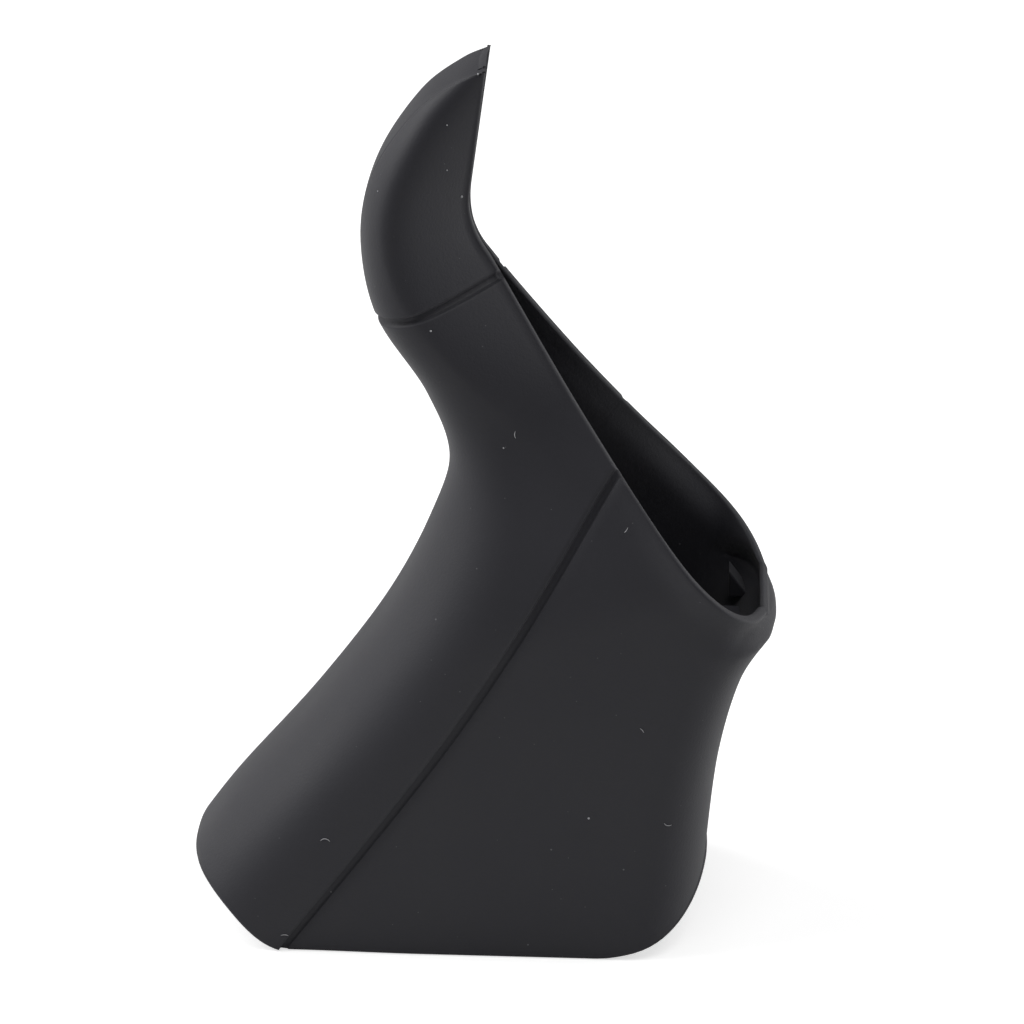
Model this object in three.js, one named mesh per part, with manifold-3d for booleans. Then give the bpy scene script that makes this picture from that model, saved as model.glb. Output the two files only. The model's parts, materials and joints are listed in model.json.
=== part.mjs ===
// Moulded rubber brake lever hood: one thin-walled skin with a tall closed horn, an egg-shaped
// mouth for the lever body, and an open bottom whose two side flaps straddle the handlebar.
// Millimetres. x runs from the heel of the palm towards the lever blade, z is up, y is across.
import * as THREE from 'three';
import { mergeVertices } from 'three/addons/utils/BufferGeometryUtils.js';
import Module from 'manifold-3d';

// Side profile on the centre plane
const hoodHeight = 118.5;
const hornTipX = 1.1;
const hornBackX = -15.1;
const hornBackDrop = 22.9;
const saddleX = -4;
const saddleHeight = 65.5;
const palmEndX = -39.2;
const hornBendX = -1.8;
const hornBendDrop = 21.6;
const mouthBottomX = 38.2;
const mouthBottomHeight = 46.3;
const noseX = 39.2;
const noseHeight = 43.9;
const bladeFootX = 30.5;
const openingArch = 8.4;
const flapHeelX = -26.1;
const flapToeX = 17;

// Half-widths across the hood
const flapHalfWidth = 18.2;
const neckHalfWidth = 10.6;
const mouthHalfWidth = 16.7;
const crownHalfWidth = 5.9;
const bendHalfWidth = 0.9;

// Wall and roundings
const wall = 2;
const rimWall = 1.4;
const hornRounding = 8;
const palmRounding = 13;
const bladeSideRounding = 9;
const neckSlopeDepth = 11;
const rimShoulderDepth = 4;
const roundingPower = 2.4;
const slopePower = 1.5;
const crownLength = 34;
const crownDome = 0.35;
const widthTopLevel = 74;
const widthBottomLevel = 42;
const widthLean = 0.35;

// Mouth
const mouthApexDistance = 60.8;
const mouthRoundLength = 22.2;
const mouthRoundPower = 2.28;
const mouthApexSoftness = 3;
const pocketDrop = 11.5;
const pocketFrontHalf = 0.6;
const cutterClearance = 4;

// Grooves that split the skin into panels
const grooveWidth = 1.2;
const grooveDepth = 0.7;
const panelStep = 0.35;
const panelStepReach = 18;
const hornGrooveBackDrop = 33.1;
const hornGrooveFrontDrop = 27.9;
const palmGrooveTopHeight = 68.5;
const palmGrooveBow = 1.7;

// Locating lugs on the inner side walls and the hook tab under the mouth
const lugLength = 4;
const lugRise = 4.6;
const lugDepth = 2.8;
const lugSeat = 0.9;
const tabWidth = 14;
const tabThickness = 1.6;
const tabReach = 2.6;
const tabDrop = 2.2;

// Fineness of the skin
const hornRows = 11;
const collarRows = 4;
const neckRows = 8;
const saddleRows = 4;
const palmRows = 12;
const heelRows = 7;
const skinColumns = 11;
const crownColumns = 2;
const panelColumns = 13;
const pocketRows = [5, 8, 3, 10, 5];
const profileSteps = 160;
const cornerSteps = 40;
const mouthSteps = 48;
const heelStart = 0.93;
const saddleSpread = 1.2;
const pocketSaddleSpread = 1.3;
const grooveWallShare = 0.36;

const point = (x, z) => new THREE.Vector2(x, z);

/** A point part of the way from a to b, moved sideways off the straight line. */
function between(a, b, share, off = 0) {
  const along = b.clone().sub(a);
  const side = point(-along.y, along.x).normalize();
  return a.clone().lerp(b, share).addScaledVector(side, off);
}

const smooth = (t) => THREE.MathUtils.smoothstep(t, 0, 1);

/** A sampled profile line that can be read by arc length and asked for its nearest point. */
class Profile {
  constructor(points) {
    this.points = points;
    this.lengths = [0];
    for (let i = 1; i < points.length; i += 1) {
      this.lengths.push(this.lengths[i - 1] + points[i].distanceTo(points[i - 1]));
    }
    this.length = this.lengths[points.length - 1];
  }

  at(length) {
    const wanted = THREE.MathUtils.clamp(length, 0, this.length);
    let i = 1;
    while (i < this.points.length - 1 && this.lengths[i] < wanted) {
      i += 1;
    }
    const span = this.lengths[i] - this.lengths[i - 1];
    const share = span > 0 ? (wanted - this.lengths[i - 1]) / span : 0;
    return this.points[i - 1].clone().lerp(this.points[i], share);
  }

  direction(length) {
    const reach = 0.25;
    return this.at(length + reach).sub(this.at(length - reach)).normalize();
  }

  nearest(p) {
    let best = { distance: Infinity, length: 0 };
    for (let i = 1; i < this.points.length; i += 1) {
      const a = this.points[i - 1];
      const span = this.points[i].clone().sub(a);
      const share = THREE.MathUtils.clamp(p.clone().sub(a).dot(span) / span.lengthSq(), 0, 1);
      const distance = p.distanceTo(a.clone().addScaledVector(span, share));
      if (distance < best.distance) {
        best = { distance, length: this.lengths[i - 1] + share * span.length() };
      }
    }
    return best;
  }

  lengthAtHeight(height) {
    let i = 1;
    while (i < this.points.length - 1 && this.points[i].y > height) {
      i += 1;
    }
    const drop = this.points[i - 1].y - this.points[i].y;
    const share = drop > 0 ? (this.points[i - 1].y - height) / drop : 0;
    return this.lengths[i - 1] + share * (this.lengths[i] - this.lengths[i - 1]);
  }

  /** The same line moved sideways, to the left of its direction where the distance is positive. */
  offset(distance) {
    const moved = this.points.map((p, i) => {
      const before = this.points[Math.max(i - 1, 0)];
      const after = this.points[Math.min(i + 1, this.points.length - 1)];
      const along = after.clone().sub(before).normalize();
      return p.clone().add(point(-along.y * distance, along.x * distance));
    });
    return new Profile(moved);
  }

  extended(start, end) {
    const first = this.points[0].clone().addScaledVector(this.direction(0), -start);
    const last = this.points[this.points.length - 1].clone().addScaledVector(this.direction(this.length), end);
    return new Profile([...(start > 0 ? [first] : []), ...this.points, ...(end > 0 ? [last] : [])]);
  }
}

const spline = (points, steps = profileSteps) => new THREE.SplineCurve(points).getSpacedPoints(steps);

// Corner points of the side profile
const tip = point(hornTipX, hoodHeight);
const hornBack = point(hornBackX, hoodHeight - hornBackDrop);
const saddle = point(saddleX, saddleHeight);
const palmEnd = point(palmEndX, openingArch);
const hornBend = point(hornBendX, hoodHeight - hornBendDrop);
const mouthBottom = point(mouthBottomX, mouthBottomHeight);
const nose = point(noseX, noseHeight);
const bladeFoot = point(bladeFootX, openingArch);
const flapHeel = point(flapHeelX, 0);
const flapToe = point(flapToeX, 0);

// Back of the horn, neck, saddle and palm, from the tip down to the heel
const backLine = new Profile(spline([
  tip,
  between(tip, hornBack, 0.12, -2.1),
  between(tip, hornBack, 0.34, -4),
  between(tip, hornBack, 0.69, -3.7),
  hornBack,
  between(hornBack, saddle, 0.32, -1.9),
  between(hornBack, saddle, 0.69, 0.5),
  saddle,
  between(saddle, palmEnd, 0.16, 3),
  between(saddle, palmEnd, 0.37, 4.2),
  between(saddle, palmEnd, 0.62, 3.1),
  between(saddle, palmEnd, 0.87, 0.7),
  palmEnd,
]));

// Front edge of the horn, the bend under it and the mouth line down to the bottom of the mouth
const bendReach = 5;
const bendStart = hornBend.clone().add(tip.clone().sub(hornBend).setLength(bendReach));
const bendEnd = hornBend.clone().add(mouthBottom.clone().sub(hornBend).setLength(bendReach));
const frontLine = new Profile([
  ...new THREE.LineCurve(tip, bendStart).getSpacedPoints(20),
  ...new THREE.QuadraticBezierCurve(bendStart, hornBend, bendEnd).getSpacedPoints(16).slice(1),
  ...spline([
    bendEnd,
    between(bendEnd, mouthBottom, 0.38, -1.7),
    between(bendEnd, mouthBottom, 0.75, -2),
    mouthBottom,
  ], 90).slice(1),
]);

// Lip under the mouth, then the hollow side that faces the lever blade
const lipLine = new Profile(new THREE.LineCurve(mouthBottom, nose).getSpacedPoints(4));
const bladeLine = new Profile(spline([
  nose,
  between(nose, bladeFoot, 0.21, -2.3),
  between(nose, bladeFoot, 0.56, -2.3),
  bladeFoot,
], 60));
const bladeSideLine = new Profile([...lipLine.points, ...bladeLine.points.slice(1)]);

// Lower edge: a round corner at each end and the two straight flap edges on the ground
const lowerEdge = (heel, heelFoot, toeFoot, foot) => new Profile([
  ...new THREE.CubicBezierCurve(
    heel,
    between(heel, heelFoot, 0.42, 2.6),
    between(heel, heelFoot, 0.72, -1.2),
    heelFoot,
  ).getSpacedPoints(cornerSteps),
  ...new THREE.LineCurve(heelFoot, toeFoot).getSpacedPoints(cornerSteps).slice(1),
  ...new THREE.CubicBezierCurve(
    toeFoot,
    between(toeFoot, foot, 0.4, -3),
    between(toeFoot, foot, 0.8, -2),
    foot,
  ).getSpacedPoints(cornerSteps).slice(1),
]);
const bottomLine = lowerEdge(palmEnd, flapHeel, flapToe, bladeFoot);

/** Half-width of the mouth: a taper to a soft apex, rounded off at the bottom. */
function mouthHalf(fromBottom) {
  const soft = (h) => (h + Math.hypot(h, mouthApexSoftness)) / 2;
  const taper = soft(mouthApexDistance - fromBottom) / soft(mouthApexDistance - mouthRoundLength);
  const left = THREE.MathUtils.clamp(1 - fromBottom / mouthRoundLength, 0, 1);
  return mouthHalfWidth * taper * (1 - left ** mouthRoundPower) ** (1 / mouthRoundPower);
}

/** Half-width of the front edge, from the chisel tip through the bend to the mouth. */
function frontHalf(length) {
  const fromBottom = frontLine.length - length;
  const bendLength = frontLine.nearest(hornBend).length;
  const share = Math.max(1 - length / bendLength, 0);
  const hornEdge = bendHalfWidth + (crownHalfWidth - bendHalfWidth) * share;
  const mouth = mouthHalf(fromBottom);
  const fade = THREE.MathUtils.clamp(fromBottom / mouthHalfWidth, 0, 1);
  return Math.hypot(mouth, hornEdge * fade);
}

const crownHalf = (length) => crownHalfWidth * Math.sqrt(Math.max(1 - length / crownLength, 0));

/** Quarter of a squared-off ellipse: 0 at the edge, 1 from the full depth inwards. */
function roundShare(depth) {
  const t = THREE.MathUtils.clamp(depth, 0, 1);
  return (1 - (1 - t) ** roundingPower) ** (1 / roundingPower);
}

const slopeShare = (depth) => 1 - (1 - THREE.MathUtils.clamp(depth, 0, 1)) ** slopePower;

/** Half-width of the skin over one point of the side view. */
function halfWidthAt(form, p) {
  const level = p.y - widthLean * p.x;
  const spread = smooth((widthTopLevel - level) / (widthTopLevel - widthBottomLevel));
  const body = neckHalfWidth + (flapHalfWidth - neckHalfWidth) * spread - form.inset;
  const back = form.backWide.nearest(p);
  const rounding = hornRounding + (palmRounding - hornRounding) * spread;
  const crown = form.inset > 0 ? 0 : crownHalf(back.length);
  const shaved = rounding * (1 - (1 - (crown / body) ** roundingPower) ** (1 / roundingPower));
  const backShare = roundShare((back.distance + shaved) / rounding);
  const bladeShare = roundShare(form.bladeWide.nearest(p).distance / bladeSideRounding);
  const front = form.front.nearest(p);
  const edge = form.edgeHalf(front.length);
  const fromBottom = form.front.length - front.length;
  const openness = smooth((mouthApexDistance - fromBottom) / (mouthApexDistance - mouthHalfWidth));
  const depth = neckSlopeDepth + (rimShoulderDepth - neckSlopeDepth) * openness;
  return edge + (body * backShare * bladeShare - edge) * slopeShare(front.distance / depth);
}

/** Splits the run between two marks into even steps, leaving out the last. */
function steps(from, to, count) {
  return Array.from({ length: count }, (_, i) => from + (to - from) * i / count);
}

/** Side-view grids of one half of the skin: the long palm panel, the groove strip, the blade panel. */
function sideGrids(form) {
  const grooveTop = form.front.at(form.grooveTopLength);
  const grooveFoot = form.bottom.at(form.grooveFootLength);
  const groove = new Profile(spline([grooveTop, between(grooveTop, grooveFoot, 0.5, form.grooveBow), grooveFoot], 60));
  const backEnd = form.back.length;
  const left = (length) => (length <= backEnd ? form.back.at(length) : form.bottom.at(length - backEnd));
  const right = (length) => {
    const past = length - form.grooveTopLength;
    return past <= 0 ? form.front.at(length) : groove.at(past);
  };
  const marks = [
    ...form.marks,
    [backEnd, form.grooveTopLength + groove.length * heelStart],
    [backEnd + form.grooveFootLength, form.grooveTopLength + groove.length],
  ];
  const rows = [];
  form.rowCounts.forEach((count, zone) => {
    const backs = steps(marks[zone][0], marks[zone + 1][0], count);
    const fronts = steps(marks[zone][1], marks[zone + 1][1], count);
    backs.forEach((back, i) => rows.push([back, fronts[i]]));
  });
  rows.push(marks[marks.length - 1]);
  const palm = rows.map(([back, front]) => {
    const a = left(back);
    const b = right(front);
    const columns = steps(0, 1, skinColumns).concat(1);
    return columns.map((t) => a.clone().lerp(b, t * t));
  });

  const grooveRows = rows.filter(([, front]) => front >= form.grooveTopLength - 1e-9);
  const shares = grooveRows.map(([, front]) => (front - form.grooveTopLength) / groove.length);
  const topStep = form.front.direction(form.grooveTopLength);
  const footStep = point(1, 0);
  const strip = grooveRows.map(([, front], i) => {
    const start = right(front);
    const across = topStep.clone().lerp(footStep, shares[i]).normalize();
    return form.grooveSteps.map((off) => {
      if (i === 0) {
        return form.front.at(form.grooveTopLength + off);
      }
      return start.clone().addScaledVector(across, off);
    });
  });

  const strideEnd = form.grooveSteps[form.grooveSteps.length - 1];
  const topStart = form.grooveTopLength + strideEnd;
  const footStart = form.grooveFootLength + strideEnd;
  const topRun = (u) => form.front.at(topStart + (form.front.length - topStart) * u);
  const footRun = (u) => form.bottom.at(footStart + (form.bottom.length - footStart) * u);
  const lip = shares[1];
  const bladeRun = (v) => {
    if (v <= lip) {
      return form.lip.at(form.lip.length * v / lip);
    }
    return form.blade.at(form.blade.length * (v - lip) / (1 - lip));
  };
  const [topLeft, topRight, footLeft, footRight] = [topRun(0), topRun(1), footRun(0), footRun(1)];
  const panel = shares.map((v, i) => {
    const leftPoint = strip[i][strip[i].length - 1];
    return steps(0, 1, panelColumns).concat(1).map((t) => {
      const u = 1 - (1 - t) ** 2;
      return topRun(u).multiplyScalar(1 - v)
        .addScaledVector(footRun(u), v)
        .addScaledVector(leftPoint, 1 - u)
        .addScaledVector(bladeRun(v), u)
        .addScaledVector(topLeft, -(1 - u) * (1 - v))
        .addScaledVector(topRight, -u * (1 - v))
        .addScaledVector(footLeft, -(1 - u) * v)
        .addScaledVector(footRight, -u * v);
    });
  });
  return { rows, palm, strip, panel };
}

/** Lifts the side-view grids off the centre plane and adds the crown columns along the back. */
function halfSkin(form) {
  const { rows, palm, strip, panel } = sideGrids(form);
  const lift = (p, sink = 0) => new THREE.Vector3(p.x, -Math.max(halfWidthAt(form, p) - sink, 0), p.y);
  const onBack = (row) => rows[row][0] <= form.back.length + 1e-9;
  const palmSkin = palm.map((columns, i) => {
    const lifted = columns.map((p) => lift(p));
    const edge = lifted[0];
    const crest = [];
    const outward = form.back.direction(rows[i][0]);
    for (let k = 0; k < crownColumns; k += 1) {
      const share = k / crownColumns;
      const rise = onBack(i) ? form.dome * (edge.y / crownHalfWidth) ** 2 * (1 - share ** 2) : 0;
      const raised = edge.clone().add(new THREE.Vector3(outward.y * rise, 0, -outward.x * rise));
      raised.y = onBack(i) ? edge.y * share : edge.y;
      crest.push(raised);
    }
    return [...crest, ...lifted];
  });
  const step = (p, top) => form.step * (1 - smooth(p.distanceTo(top) / panelStepReach));
  const stripSkin = strip.map((columns) => columns.map((p, k) => lift(p, form.grooveSinks[k])));
  const panelSkin = panel.map((columns) => columns.map((p) => {
    const sink = form.step > 0 ? step(p, columns[0]) : 0;
    const nearBlade = roundShare(form.bladeWide.nearest(p).distance / bladeSideRounding);
    return lift(p, sink * nearBlade);
  }));
  return { rows, palmSkin, stripSkin, panelSkin };
}

/** Sinks the rows of the ring groove along the skin's own normal. */
function cutRingGroove(palmSkin, form) {
  const normalAt = (i, j) => {
    const last = palmSkin[i].length - 1;
    const before = palmSkin[i][Math.max(j - 1, 0)].clone();
    const after = palmSkin[i][Math.min(j + 1, last)].clone();
    if (j === 0) {
      before.copy(after);
      before.y = -after.y;
    }
    const across = after.sub(before);
    const down = palmSkin[i + 1][j].clone().sub(palmSkin[i - 1][j]);
    return down.cross(across).normalize();
  };
  const sunk = form.ringRows.map((i) => palmSkin[i].map((p, j) => {
    const moved = p.clone().addScaledVector(normalAt(i, j), -grooveDepth);
    moved.y = Math.min(moved.y, 0);
    return moved;
  }));
  form.ringRows.forEach((i, k) => {
    palmSkin[i] = sunk[k];
  });
}

/** Collects triangles of a closed body that is the same on both sides of the centre plane. */
class MirroredShell {
  constructor() {
    this.positions = [];
  }

  triangle(a, b, c) {
    const thin = Math.min(a.distanceTo(b), b.distanceTo(c), c.distanceTo(a)) < 1e-3;
    if (!thin) {
      [a, b, c].forEach((p) => this.positions.push(p.x, p.y, p.z));
    }
  }

  quad(a, b, c, d) {
    this.triangle(a, b, c);
    this.triangle(a, c, d);
  }

  skin(grid) {
    for (let i = 0; i + 1 < grid.length; i += 1) {
      for (let j = 0; j + 1 < grid[i].length; j += 1) {
        const [a, b, c, d] = [grid[i][j], grid[i + 1][j], grid[i + 1][j + 1], grid[i][j + 1]];
        this.quad(a, b, c, d);
        const [e, f, g, h] = [a, d, c, b].map((p) => new THREE.Vector3(p.x, -p.y, p.z));
        this.quad(e, f, g, h);
      }
    }
  }

  /** Straight rungs from one side to the other along an edge of the skin. */
  rungs(edge) {
    for (let i = 0; i + 1 < edge.length; i += 1) {
      const [a, b] = [edge[i], edge[i + 1]];
      const [c, d] = [b, a].map((p) => new THREE.Vector3(p.x, -p.y, p.z));
      this.quad(a, b, c, d);
    }
  }

  geometry() {
    const geometry = new THREE.BufferGeometry();
    geometry.setAttribute('position', new THREE.Float32BufferAttribute(this.positions, 3));
    return mergeVertices(geometry, 1e-3);
  }
}

/** A closed body bounded by the half skin, its mirror image and straight rungs. */
function closedForm(form) {
  const { rows, palmSkin, stripSkin, panelSkin } = halfSkin(form);
  if (form.ringRows.length > 0) {
    cutRingGroove(palmSkin, form);
  }
  const shell = new MirroredShell();
  [palmSkin, stripSkin, panelSkin].forEach((grid) => shell.skin(grid));
  const last = (row) => row[row.length - 1];
  const frontEdge = palmSkin.filter((_, i) => rows[i][1] <= form.grooveTopLength + 1e-9).map(last);
  shell.rungs([...palmSkin[0], ...frontEdge.slice(1), ...stripSkin[0].slice(1), ...panelSkin[0].slice(1)]);
  const heelEdge = palmSkin.filter((_, i) => rows[i][0] >= form.back.length - 1e-9).map((row) => row[crownColumns]);
  const footEdge = [...heelEdge, ...last(stripSkin).slice(1), ...last(panelSkin).slice(1)];
  shell.rungs(footEdge.reverse());
  return shell.geometry();
}

const wasm = await Module();
wasm.setup();

/** Closed geometry to a solid that can be joined and cut. */
function solid(geometry) {
  const bare = geometry.clone();
  bare.deleteAttribute('normal');
  bare.deleteAttribute('uv');
  const merged = mergeVertices(bare, 1e-3);
  return new wasm.Manifold(new wasm.Mesh({
    numProp: 3,
    vertProperties: new Float32Array(merged.attributes.position.array),
    triVerts: new Uint32Array(merged.index.array),
  }));
}

/** A solid back to a geometry for the scene. */
function geometryOf(body) {
  const mesh = body.getMesh();
  const geometry = new THREE.BufferGeometry();
  geometry.setAttribute('position', new THREE.Float32BufferAttribute(mesh.vertProperties, 3));
  geometry.setIndex([...mesh.triVerts]);
  geometry.computeVertexNormals();
  return geometry;
}

// Outer form with its grooves
const extension = 14;
const grooveTopLength = frontLine.lengthAtHeight(palmGrooveTopHeight);
const heelRunLength = bottomLine.nearest(flapHeel).length;
const ringBack = backLine.lengthAtHeight(hoodHeight - hornGrooveBackDrop);
const ringFront = frontLine.lengthAtHeight(hoodHeight - hornGrooveFrontDrop);
const ringMarks = [-0.5, -grooveWallShare, grooveWallShare, 0.5].map((share) => [
  ringBack + share * grooveWidth,
  ringFront + share * grooveWidth,
]);
const bendMark = [backLine.nearest(hornBack).length, frontLine.nearest(hornBend).length];
const saddleMark = [backLine.nearest(saddle).length, frontLine.length - (frontLine.length - grooveTopLength) * saddleSpread];
const cornerMark = [backLine.nearest(saddle).length * saddleSpread, grooveTopLength];

const outerForm = {
  inset: 0,
  dome: crownDome,
  step: panelStep,
  back: backLine,
  backWide: backLine.extended(0, extension),
  front: frontLine,
  lip: lipLine,
  blade: bladeLine,
  bladeWide: bladeSideLine.extended(0, extension),
  bottom: bottomLine,
  edgeHalf: frontHalf,
  grooveTopLength,
  grooveFootLength: heelRunLength,
  grooveBow: palmGrooveBow,
  grooveSteps: [0, 0.2, 0.5, 1].map((share) => share * grooveWidth),
  grooveSinks: [0, grooveDepth, grooveDepth, panelStep],
  marks: [[0, 0], bendMark, ...ringMarks, saddleMark, cornerMark],
  rowCounts: [hornRows, collarRows, 1, 1, 1, neckRows, saddleRows, palmRows, heelRows],
  ringRows: [hornRows + collarRows + 1, hornRows + collarRows + 2],
};

// Cavity: the same form drawn in by the wall, open downwards past the flaps
const cavityDrop = 6;
const backInner = backLine.extended(0, extension).offset(wall);
const frontInner = frontLine.offset(-wall);
const bladeInner = bladeLine.extended(0, extension).offset(-wall);
const innerPart = (line, from, to) => {
  const kept = line.points.filter((_, i) => line.lengths[i] > from && line.lengths[i] < to);
  return new Profile([line.at(from), ...kept, line.at(to)]);
};
const pocketBack = innerPart(backInner, backInner.lengthAtHeight(hoodHeight - pocketDrop), backInner.lengthAtHeight(openingArch - cavityDrop));
const pocketFront = innerPart(frontInner, frontInner.lengthAtHeight(hoodHeight - pocketDrop), frontInner.length);
const innerNose = pocketFront.at(pocketFront.length);
const bladeTop = bladeInner.nearest(innerNose).length;
const innerBlade = innerPart(bladeInner, bladeTop + 1, bladeInner.lengthAtHeight(openingArch - cavityDrop));
const innerHeel = pocketBack.at(pocketBack.length);
const innerFoot = innerBlade.at(innerBlade.length);
const innerBottom = lowerEdge(
  innerHeel,
  point(flapHeelX, -cavityDrop),
  point(flapToeX, -cavityDrop),
  innerFoot,
);
const innerLip = new Profile([innerNose, innerBlade.at(0)]);
const innerGrooveTop = pocketFront.lengthAtHeight(palmGrooveTopHeight);
const innerFrontOffset = frontInner.lengthAtHeight(hoodHeight - pocketDrop);

const cavityForm = {
  inset: wall,
  dome: 0,
  step: 0,
  back: pocketBack,
  backWide: backInner,
  front: pocketFront,
  lip: innerLip,
  blade: innerBlade,
  bladeWide: new Profile([...innerLip.points, ...innerBlade.points.slice(1)]),
  bottom: innerBottom,
  edgeHalf: (length) => {
    const outerLength = (length + innerFrontOffset) * frontLine.length / frontInner.length;
    const fade = THREE.MathUtils.clamp((pocketFront.length - length) / mouthHalfWidth, 0, 1);
    return Math.hypot(Math.max(frontHalf(outerLength) - wall, 0), pocketFrontHalf * fade);
  },
  grooveTopLength: innerGrooveTop,
  grooveFootLength: innerBottom.nearest(point(flapHeelX, -cavityDrop)).length,
  grooveBow: palmGrooveBow,
  grooveSteps: [0, grooveWidth],
  grooveSinks: [0, 0],
  marks: [
    [0, 0],
    [pocketBack.nearest(hornBack).length, pocketFront.nearest(hornBend).length],
    [pocketBack.nearest(saddle).length, pocketFront.length - (pocketFront.length - innerGrooveTop) * saddleSpread],
    [pocketBack.nearest(saddle).length * pocketSaddleSpread, innerGrooveTop],
  ],
  rowCounts: pocketRows,
  ringRows: [],
};

/** Prism that opens the mouth: the rim's own outline drawn in by the width of the rim. */
function mouthCutter() {
  const edge = new Profile(Array.from({ length: mouthSteps + 1 }, (_, i) => {
    const fromBottom = mouthApexDistance * (i / mouthSteps) ** 2;
    return point(mouthHalf(fromBottom), fromBottom);
  }));
  const inner = edge.offset(rimWall).points;
  const close = inner.findIndex((p, i) => i > 0 && p.x < 0);
  const [a, b] = [inner[close - 1], inner[close]];
  const side = [...inner.slice(0, close), a.clone().lerp(b, a.x / (a.x - b.x))];
  const mirrored = side.slice(1, -1).reverse().map((p) => point(-p.x, p.y));
  const outline = new THREE.Shape([...side, ...mirrored]);
  const reach = wall + cutterClearance;
  const prism = new THREE.ExtrudeGeometry(outline, { depth: 2 * reach, bevelEnabled: false });
  const top = frontLine.at(frontLine.length - mouthApexDistance);
  const along = top.clone().sub(mouthBottom).normalize();
  const across = new THREE.Vector3(0, -1, 0);
  const up = new THREE.Vector3(along.x, 0, along.y);
  const out = across.clone().cross(up);
  prism.translate(0, 0, -reach);
  prism.applyMatrix4(new THREE.Matrix4().makeBasis(across, up, out).setPosition(mouthBottom.x, 0, mouthBottom.y));
  return solid(prism);
}

/** A small triangular lug that stands off each inner front corner, just under the mouth. */
function lug(side) {
  const corner = bladeLine.at(tabDrop + tabThickness).add(point(-wall, 0));
  const outline = new THREE.Shape([
    corner,
    corner.clone().add(point(-lugLength, 0)),
    corner.clone().add(point(-lugLength, lugRise)),
  ]);
  const depth = lugDepth + lugSeat;
  const wedge = new THREE.ExtrudeGeometry(outline, { depth, bevelEnabled: false });
  const start = halfWidthAt(outerForm, corner) - wall - lugDepth;
  wedge.applyMatrix4(new THREE.Matrix4().makeBasis(
    new THREE.Vector3(1, 0, 0),
    new THREE.Vector3(0, 0, 1),
    new THREE.Vector3(0, -1, 0),
  ).setPosition(0, side < 0 ? -start : start + depth, 0));
  return solid(wedge);
}

/** The hook tab inside the wall under the mouth. */
function hookTab() {
  const root = bladeLine.at(tabDrop);
  const tab = new THREE.BoxGeometry(tabReach + wall, tabWidth, tabThickness);
  tab.translate(root.x - wall / 2 - (tabReach + wall) / 2, 0, root.y - tabThickness / 2);
  return solid(tab);
}

const outer = solid(closedForm(outerForm));
const cavity = solid(closedForm(cavityForm));
const freeCavity = cavity.subtract(lug(-1)).subtract(lug(1)).subtract(hookTab());
const hoodSolid = outer.subtract(freeCavity).subtract(mouthCutter());

const rubber = new THREE.MeshStandardMaterial({ color: 0x26272b, roughness: 0.72, metalness: 0 });
const hood = new THREE.Mesh(geometryOf(hoodSolid), rubber);
hood.name = 'hood';

const part = new THREE.Group();
part.name = 'brake_lever_hood';
part.add(hood);

export default part;
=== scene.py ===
import json

import bpy
import numpy as np
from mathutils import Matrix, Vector

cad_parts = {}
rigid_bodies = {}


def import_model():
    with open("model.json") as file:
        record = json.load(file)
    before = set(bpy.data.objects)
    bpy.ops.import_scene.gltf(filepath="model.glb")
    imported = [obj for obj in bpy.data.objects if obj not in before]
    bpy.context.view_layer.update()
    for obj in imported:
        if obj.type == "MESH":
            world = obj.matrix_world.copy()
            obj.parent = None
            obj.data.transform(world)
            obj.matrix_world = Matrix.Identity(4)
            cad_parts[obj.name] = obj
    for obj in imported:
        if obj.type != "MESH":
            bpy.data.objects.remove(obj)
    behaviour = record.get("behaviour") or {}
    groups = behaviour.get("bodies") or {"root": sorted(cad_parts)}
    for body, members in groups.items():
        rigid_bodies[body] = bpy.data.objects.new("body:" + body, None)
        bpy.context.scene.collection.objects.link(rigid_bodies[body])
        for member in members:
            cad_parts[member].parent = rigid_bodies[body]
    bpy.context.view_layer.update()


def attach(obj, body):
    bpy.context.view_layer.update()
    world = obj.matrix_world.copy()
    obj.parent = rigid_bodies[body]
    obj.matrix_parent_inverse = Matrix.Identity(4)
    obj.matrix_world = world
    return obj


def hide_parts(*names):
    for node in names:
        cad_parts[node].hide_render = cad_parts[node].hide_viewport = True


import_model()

# Side profile of the hood. The skin is drawn from the lines that a mould maker would draw on the
# side view: back, front edge with the mouth, blade side and lower edge. Millimetres, as (x, z).

hood_height = 118.5
horn_tip = np.array([1.1, hood_height])
horn_back = np.array([-15.1, 95.6])
saddle = np.array([-4.0, 65.5])
opening_arch = 8.4
palm_end = np.array([-39.2, opening_arch])
horn_bend = np.array([-1.8, 96.9])
bend_reach = 5.0
mouth_bottom = np.array([38.2, 46.3])
nose = np.array([39.2, 43.9])
blade_foot = np.array([30.5, opening_arch])
flap_heel = np.array([-26.1, 0.0])
flap_toe = np.array([17.0, 0.0])
edge_radius = 0.4


def beside(a, b, share, off=0.0):
    """The point at this share of the way from a to b, moved off to the left of that direction."""
    along = (b - a) / np.linalg.norm(b - a)
    return a + (b - a) * share + np.array([-along[1], along[0]]) * off


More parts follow.
